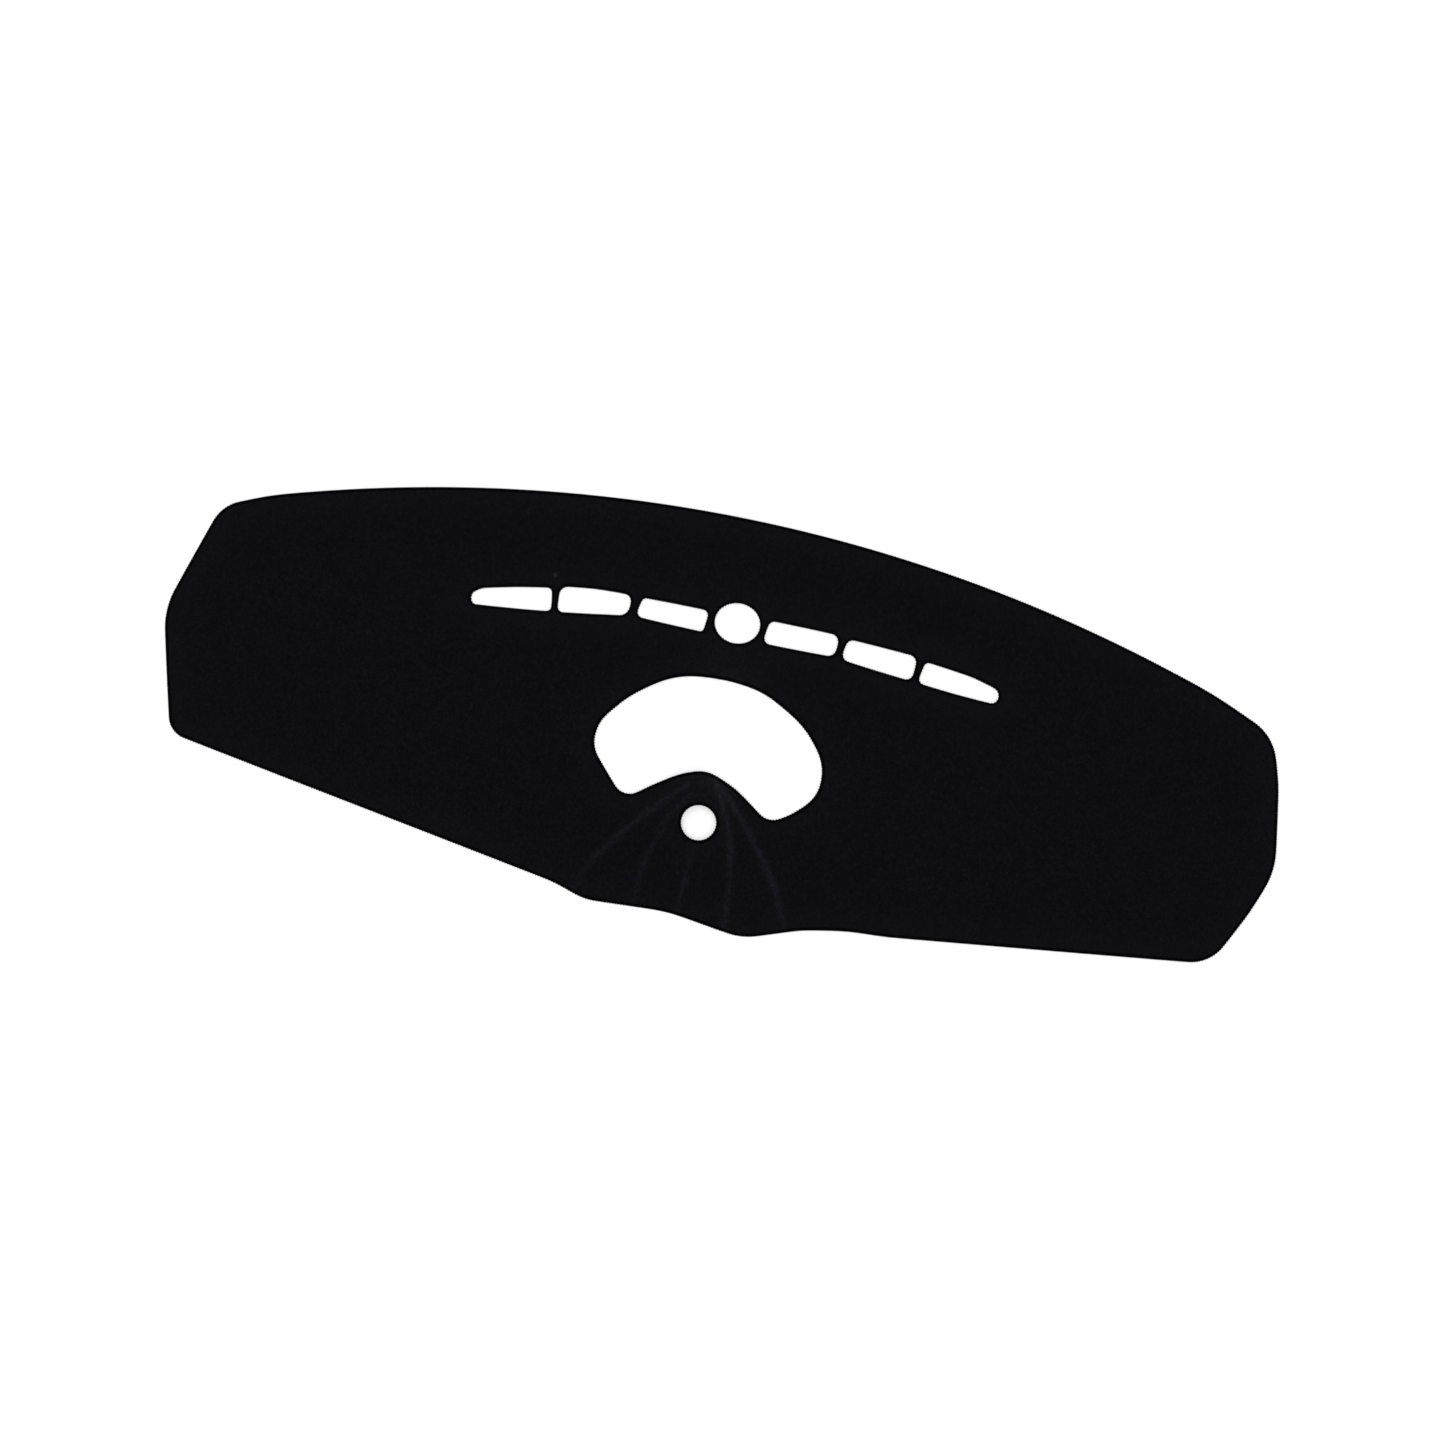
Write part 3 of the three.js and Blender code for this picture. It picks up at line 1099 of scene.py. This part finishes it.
def spread(tree: Tree, source: Socket, stops: Span) -> Socket:
    """Maps a number smoothly from one range to another, and holds it inside the second.

    Args:
        tree: The tree that the node goes into.
        source: The socket of the number.
        stops: Low and high end of its range, and what they become.

    Returns:
        The socket of the mapped number.
    """
    node = tree.nodes.new("ShaderNodeMapRange")
    node.interpolation_type = "SMOOTHSTEP"
    tree.links.new(source, node.inputs["Value"])
    for name, value in zip(("From Min", "From Max", "To Min", "To Max"), stops):
        node.inputs[name].default_value = value
    return node.outputs["Result"]


def ramp_node(tree: Tree, source: Socket, low: Colour, high: Colour) -> Socket:
    """Adds a colour ramp between two colours.

    Args:
        tree: The tree that it goes into.
        source: The socket of a number from 0 to 1.
        low: The colour at 0.
        high: The colour at 1.

    Returns:
        The socket of the colour.
    """
    node = tree.nodes.new("ShaderNodeValToRGB")
    for element, colour in zip(node.color_ramp.elements, (low, high)):
        element.color = (*colour, 1.0)
    tree.links.new(source, node.inputs["Fac"])
    return node.outputs["Color"]


def mix_colours(tree: Tree, share: Socket, first: Socket, second: Colour) -> Socket:
    """Lays a colour over another one where a mask says so.

    Args:
        tree: The tree that the node goes into.
        share: The socket of the mask.
        first: The socket of the colour below.
        second: The colour laid over it.

    Returns:
        The socket of the result.
    """
    node = tree.nodes.new("ShaderNodeMix")
    node.data_type = "RGBA"
    colours = [socket for socket in node.inputs if socket.type == "RGBA"]
    tree.links.new(share, node.inputs["Factor"])
    tree.links.new(first, colours[0])
    colours[1].default_value = (*second, 1.0)
    return next(socket for socket in node.outputs if socket.type == "RGBA")


def shade_colour(tree: Tree, colour: Socket, amount: Socket) -> Socket:
    """Multiplies a colour by a number.

    Args:
        tree: The tree that the node goes into.
        colour: The socket of the colour.
        amount: The socket of the number.

    Returns:
        The socket of the result.
    """
    node = tree.nodes.new("ShaderNodeVectorMath")
    node.operation = "SCALE"
    tree.links.new(colour, node.inputs["Vector"])
    tree.links.new(amount, node.inputs["Scale"])
    return node.outputs["Vector"]


def add_bump(tree: Tree, height: Socket, strength: float, depth: float, shader: bpy.types.Node) -> None:
    """Roughens a shader's surface by a height.

    Args:
        tree: The tree that the node goes into.
        height: The socket of the height, from 0 to 1.
        strength: Share of the bump that shows.
        depth: Depth of the bump, in metres.
        shader: The shader that it feeds.
    """
    bump = tree.nodes.new("ShaderNodeBump")
    bump.inputs["Strength"].default_value = strength
    bump.inputs["Distance"].default_value = depth
    tree.links.new(height, bump.inputs["Height"])
    tree.links.new(bump.outputs["Normal"], shader.inputs["Normal"])


@dataclass(frozen=True)
class FeltFinish:
    """Black needle-punched felt: hardly any gloss, matted hairs, tufts, sheen painted on the folds and by
    the lip, two pale spots, one of them a painted highlight, and shade painted under the stitches.
    """

    dark: Colour = (0.0029, 0.0029, 0.0036)
    light: Colour = (0.0047, 0.0047, 0.0059)
    margin: Colour = (0.0052, 0.0052, 0.0066)
    # Colour of the sheen painted on the fold crests and by the lip.
    painted_sheen: Colour = (0.0134, 0.0128, 0.0198)
    spot_and_highlight: Colour = (0.0210, 0.0210, 0.0225)
    roughness: float = 0.95
    gloss: float = 0.02
    sheen: float = 0.008
    sheen_roughness: float = 0.6
    scales: tuple[float, float, float] = (950.0, 190.0, 34.0)
    tuft_share: float = 0.72
    tone_range: tuple[float, float] = (0.24, 0.76)
    hair_range: Span = (0.5, 0.76, 0.62, 1.55)
    margin_range: Span = (4.0, 52.0, 0.6, 0.0)
    # Painted shade under the stitches: within 3.2 mm of a cut edge the colour drops to a quarter, and it
    # is whole again by 5.8 mm.
    stitch_shade_range: Span = (3.2, 5.8, 0.25, 1.0)
    broken: Span = (0.34, 0.62, 0.3, 0.95)
    # Two pale spots: the one on the hood by the lip, where the fourth and fifth folds start, is a painted
    # highlight; the other is a pale spot on the felt.
    fleck_places: tuple[Place, ...] = (
        (-241.0 * MM, 134.7 * MM, 5.0 * MM),
        (8.8 * MM, -76.5 * MM, 17.0 * MM),
    )
    fleck_range: Span = (0.8 * MM, 4.2 * MM, 0.9, 0.0)
    hair_depth: float = 0.3 * MM
    bump: float = 0.85

    def build(self, group: Tree) -> bpy.types.Material:
        """Builds the material.

        Args:
            group: The shared group of matted fibres.

        Returns:
            The material.
        """
        material, tree, shader = new_material("black_felt")
        fibres = place_group(tree, group, self.scales)
        colour = self._plain(tree, fibres)
        near = spread(tree, attribute_node(tree, EDGE_MM), self.margin_range)
        colour = mix_colours(tree, near, colour, self.margin)
        # Painted sheen: the colour goes towards a pale violet along the fold crests and by the lip, broken
        # up by the tufts and the mottling.
        uneven = math_node(tree, "ADD", fibres.outputs["Tuft"], fibres.outputs["Mottle"])
        patchy = spread(tree, math_node(tree, "MULTIPLY", uneven, 0.5), self.broken)
        sheen_share = math_node(tree, "MULTIPLY", attribute_node(tree, SHEEN_MASK), patchy)
        colour = mix_colours(tree, sheen_share, colour, self.painted_sheen)
        # Pale spots laid over the colour, one of them a painted highlight.
        for place in self.fleck_places:
            colour = mix_colours(tree, self._fleck(tree, place), colour, self.spot_and_highlight)
        # Painted shade: the felt is darkened under the overlock stitches along every cut edge.
        colour = shade_colour(tree, colour, spread(tree, attribute_node(tree, EDGE_MM), self.stitch_shade_range))
        hairs = spread(tree, fibres.outputs["Hair"], self.hair_range)
        tree.links.new(shade_colour(tree, colour, hairs), shader.inputs["Base Color"])
        shader.inputs["Roughness"].default_value = self.roughness
        shader.inputs["Specular IOR Level"].default_value = self.gloss
        shader.inputs["Sheen Weight"].default_value = self.sheen
        shader.inputs["Sheen Roughness"].default_value = self.sheen_roughness
        add_bump(tree, fibres.outputs["Hair"], self.bump, self.hair_depth, shader)
        return material

    def _plain(self, tree: Tree, fibres: bpy.types.Node) -> Socket:
        """Colour of the plain felt, from the tufts and the mottling together.

        Args:
            tree: The material's tree.
            fibres: The fibre group's node.

        Returns:
            The socket of the colour.
        """
        tufts = math_node(tree, "MULTIPLY", fibres.outputs["Tuft"], self.tuft_share)
        tone = math_node(tree, "MULTIPLY_ADD", fibres.outputs["Mottle"], 1.0 - self.tuft_share, tufts)
        return ramp_node(tree, spread(tree, tone, (*self.tone_range, 0.0, 1.0)), self.dark, self.light)

    def _fleck(self, tree: Tree, place: Place) -> Socket:
        """Mask of one pale fleck on the top face, soft towards its rim.

        Args:
            tree: The material's tree.
            place: The middle of the fleck.

        Returns:
            The socket of the mask.
        """
        away = tree.nodes.new("ShaderNodeVectorMath")
        away.operation = "DISTANCE"
        tree.links.new(object_place(tree), away.inputs[0])
        away.inputs[1].default_value = place
        return spread(tree, away.outputs["Value"], self.fleck_range)


@dataclass(frozen=True)
class ThreadFinish:
    """Black textured polyester thread: two plies twisted together, with a little gloss, and shade painted
    in the grooves between the plies.
    """

    dark: Colour = (0.0004, 0.0004, 0.0005)
    light: Colour = (0.0030, 0.0030, 0.0038)
    roughness: float = 0.5
    gloss: float = 0.003
    twists: float = 5.0
    scales: tuple[float, float, float] = (3200.0, 1100.0, 150.0)
    fuzz: float = 0.35
    height_range: Span = (0.05, 1.25, 0.0, 1.0)
    stitches_a_group: float = 2.5
    group_range: Span = (-0.5, 0.5, 0.3, 1.9)
    ply_depth: float = 0.12 * MM
    bump: float = 0.9

    def build(self, group: Tree) -> bpy.types.Material:
        """Builds the material.

        The plies are a sine wave of the turns along the thread plus the way round it, so they
        wind round it as a helix. Their height, with the fuzz, also sets the colour: darker in
        the grooves between the plies, a painted shade. A slower sine wave of the stitches makes
        groups of them lie lighter and darker in turn.

        Args:
            group: The shared group of matted fibres.

        Returns:
            The material.
        """
        material, tree, shader = new_material("black_overlock_thread")
        along = tree.nodes.new("ShaderNodeUVMap")
        along.uv_map = ALONG_THREAD
        parts = tree.nodes.new("ShaderNodeSeparateXYZ")
        tree.links.new(along.outputs["UV"], parts.inputs["Vector"])
        turns = math_node(tree, "MULTIPLY_ADD", parts.outputs["X"], self.twists, parts.outputs["Y"])
        ply = math_node(tree, "SINE", math_node(tree, "MULTIPLY", turns, 4.0 * math.pi))
        raised = math_node(tree, "MULTIPLY_ADD", ply, 0.5, 0.5)
        fibres = place_group(tree, group, self.scales)
        height = math_node(tree, "MULTIPLY_ADD", fibres.outputs["Hair"], self.fuzz, raised)
        # Painted shade: the colour is darker where the plies dip, in the grooves between them.
        tone = spread(tree, height, self.height_range)
        slow = math_node(tree, "MULTIPLY", parts.outputs["X"], 2.0 * math.pi / self.stitches_a_group)
        groups = spread(tree, math_node(tree, "SINE", slow), self.group_range)
        colour = shade_colour(tree, ramp_node(tree, tone, self.dark, self.light), groups)
        tree.links.new(colour, shader.inputs["Base Color"])
        shader.inputs["Roughness"].default_value = self.roughness
        shader.inputs["Specular IOR Level"].default_value = self.gloss
        add_bump(tree, height, self.bump, self.ply_depth, shader)
        return material


@dataclass(frozen=True)
class FloorFinish:
    """White studio floor, which reads as plain white to the camera and keeps soft shadows."""

    colour: Colour = (0.82, 0.82, 0.82)
    roughness: float = 0.9
    lift: float = 0.4

    def build(self) -> bpy.types.Material:
        """Builds the material: a matt white, with a glow that only camera, glossy and clear rays see.

        Returns:
            The material.
        """
        material, tree, shader = new_material("white_floor")
        shader.inputs["Base Color"].default_value = (*self.colour, 1.0)
        shader.inputs["Roughness"].default_value = self.roughness
        shader.inputs["Specular IOR Level"].default_value = 0.0
        shader.inputs["Emission Color"].default_value = (1.0, 1.0, 1.0, 1.0)
        tree.links.new(seen_directly(tree, self.lift), shader.inputs["Emission Strength"])
        return material


def seen_directly(tree: Tree, strength: float) -> Socket:
    """A strength for camera, glossy and transmission rays, and nothing for others.

    Args:
        tree: The tree that the nodes go into.
        strength: The strength.

    Returns:
        The socket of the strength.
    """
    rays = tree.nodes.new("ShaderNodeLightPath")
    shiny = math_node(tree, "MAXIMUM", rays.outputs["Is Glossy Ray"], rays.outputs["Is Transmission Ray"])
    seen = math_node(tree, "MAXIMUM", rays.outputs["Is Camera Ray"], shiny)
    return math_node(tree, "MULTIPLY", seen, strength)


# Studio


@dataclass(frozen=True)
class Lamp:
    """One square lamp that points at the middle of the mat."""

    name: str
    place: Place
    size: float
    power: float

    def build(self) -> None:
        """Makes the lamp."""
        light = bpy.data.lights.new(self.name, "AREA")
        light.size = self.size
        light.energy = self.power
        lamp = bpy.data.objects.new(self.name, light)
        lamp.location = self.place
        lamp.rotation_euler = (-Vector(self.place)).to_track_quat("-Z", "Y").to_euler()
        bpy.context.scene.collection.objects.link(lamp)


@dataclass(frozen=True)
class Studio:
    """Plain floor, soft light and the camera straight above, turned as the photograph is."""

    image_width_px: float = 1445.0
    scale: float = 1.2316 * MM
    mat_turn: float = math.radians(12.2)
    centre_x: float = -1.6 * MM
    centre_y: float = 0.6 * MM
    lens: float = 85.0
    sensor: float = 36.0
    floor_size: float = 40.0
    world_strength: float = 0.72
    lamps: tuple[Lamp, ...] = (
        Lamp("key_lamp", (-2.2, 1.6, 3.2), 3.0, 52.0),
        Lamp("fill_lamp", (2.4, -2.0, 2.6), 3.0, 40.0),
    )

    def build(self) -> None:
        """Makes the floor, the world, the lamps and the camera."""
        self._camera()
        self._floor()
        self._world()
        for lamp in self.lamps:
            lamp.build()
        bpy.context.scene.view_settings.view_transform = "Standard"

    def _camera(self) -> None:
        """Hangs the camera above the mat, as high as its lens needs to take in the photograph's width."""
        camera = bpy.data.cameras.new("camera")
        camera.lens = self.lens
        camera.sensor_width = self.sensor
        view = bpy.data.objects.new("camera", camera)
        height = self.image_width_px * self.scale * self.lens / self.sensor
        view.location = (self.centre_x, self.centre_y, height)
        view.rotation_euler = (0.0, 0.0, self.mat_turn)
        camera.clip_end = 4.0 * height
        bpy.context.scene.collection.objects.link(view)
        bpy.context.scene.camera = view

    def _floor(self) -> None:
        """Lays the floor, a square around the origin."""
        half = self.floor_size / 2
        corners = [(-half, -half, 0.0), (half, -half, 0.0), (half, half, 0.0), (-half, half, 0.0)]
        mesh = bpy.data.meshes.new("floor")
        mesh.from_pydata(corners, [], [(0, 1, 2, 3)])
        mesh.materials.append(FloorFinish().build())
        floor = bpy.data.objects.new("floor", mesh)
        bpy.context.scene.collection.objects.link(floor)

    def _world(self) -> None:
        """Lights the mat evenly from all round, and shows as white where it is seen directly."""
        world = bpy.data.worlds.new("studio_world")
        world.use_nodes = True
        tree = world.node_tree
        background = tree.nodes["Background"]
        background.inputs["Color"].default_value = (1.0, 1.0, 1.0, 1.0)
        extra = seen_directly(tree, 1.0 - self.world_strength)
        total = math_node(tree, "ADD", extra, self.world_strength)
        tree.links.new(total, background.inputs["Strength"])
        bpy.context.scene.world = world


# The whole


@dataclass(frozen=True)
class DashboardMat:
    """The mat: one felt sheet and an overlock seam on each of its cut edges."""

    form: MatForm
    edges: tuple[CutEdge, ...]

    @classmethod
    def from_frame(cls) -> "DashboardMat":
        """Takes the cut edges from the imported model's seam bands.

        Returns:
            The mat.
        """
        ending = "_overlock"
        names = sorted(node.removesuffix(ending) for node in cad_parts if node.endswith(ending))
        form = MatForm(Felt(), Hood(), Ripples(), Folds(), LipSheen())
        return cls(form, tuple(CutEdge.read(name) for name in names))

    def build(self) -> None:
        group = fibre_group()
        thread_finish = ThreadFinish().build(group)
        sheet = FeltSheet(self.form, self.edges).build()
        sheet.data.materials.append(FeltFinish().build(group))
        report(sheet)
        threads = [piece for edge in self.edges for piece in Overlock(self.form, edge).build()]
        for piece in threads:
            piece.data.materials.append(thread_finish)
            report(piece)


def report(piece: bpy.types.Object) -> None:
    """Logs a piece's name and its count of faces."""
    LOG.info("%s: %d faces", piece.name, len(piece.data.polygons))


def main() -> None:
    """Builds the studio and the mat."""
    logging.basicConfig(level=logging.INFO, format="%(name)s: %(message)s")
    Studio().build()
    DashboardMat.from_frame().build()


if __name__ == "__main__":
    main()
